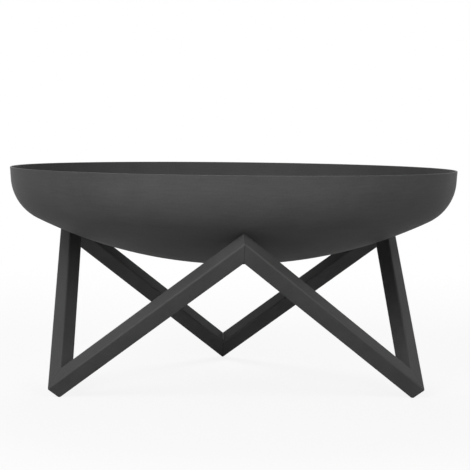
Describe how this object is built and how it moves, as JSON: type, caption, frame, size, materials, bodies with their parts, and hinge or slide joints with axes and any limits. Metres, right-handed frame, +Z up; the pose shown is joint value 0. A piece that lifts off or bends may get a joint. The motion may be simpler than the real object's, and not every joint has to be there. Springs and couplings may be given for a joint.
{
  "type": "brazier",
  "caption": "Shallow round steel fire bowl resting loose on a zigzag stand of mitred square tubes, painted satin anthracite; the bowl lifts off for emptying.",
  "frame": {"origin": "on the floor, under the middle of the bowl", "axes": "+Z up along the bowl's axis, +Y towards the back foot, -Y towards the front top corner of the stand"},
  "size_m": [0.7998, 0.7998, 0.3886],
  "materials": {
    "bowl_paint": "satin heat-resistant paint, anthracite",
    "stand_paint": "satin heat-resistant paint, anthracite",
    "weld_paint": "painted weld bead"
  },
  "bodies": {
    "stand": {"strut_front_left": "stand_paint", "strut_front_right": "stand_paint", "strut_left": "stand_paint", "strut_right": "stand_paint", "strut_rear_left": "stand_paint", "strut_rear_right": "stand_paint", "weld_foot_rear": "weld_paint", "weld_foot_left": "weld_paint", "weld_foot_right": "weld_paint", "weld_apex_front": "weld_paint", "weld_apex_left": "weld_paint", "weld_apex_right": "weld_paint"},
    "bowl": {"fire_bowl": "bowl_paint"}
  },
  "joints": [
    {"name": "bowl_lift", "type": "slide", "parent": "stand", "child": "bowl", "axis": [0, 0, 1], "range_m": [0, 0.2]}
  ]
}
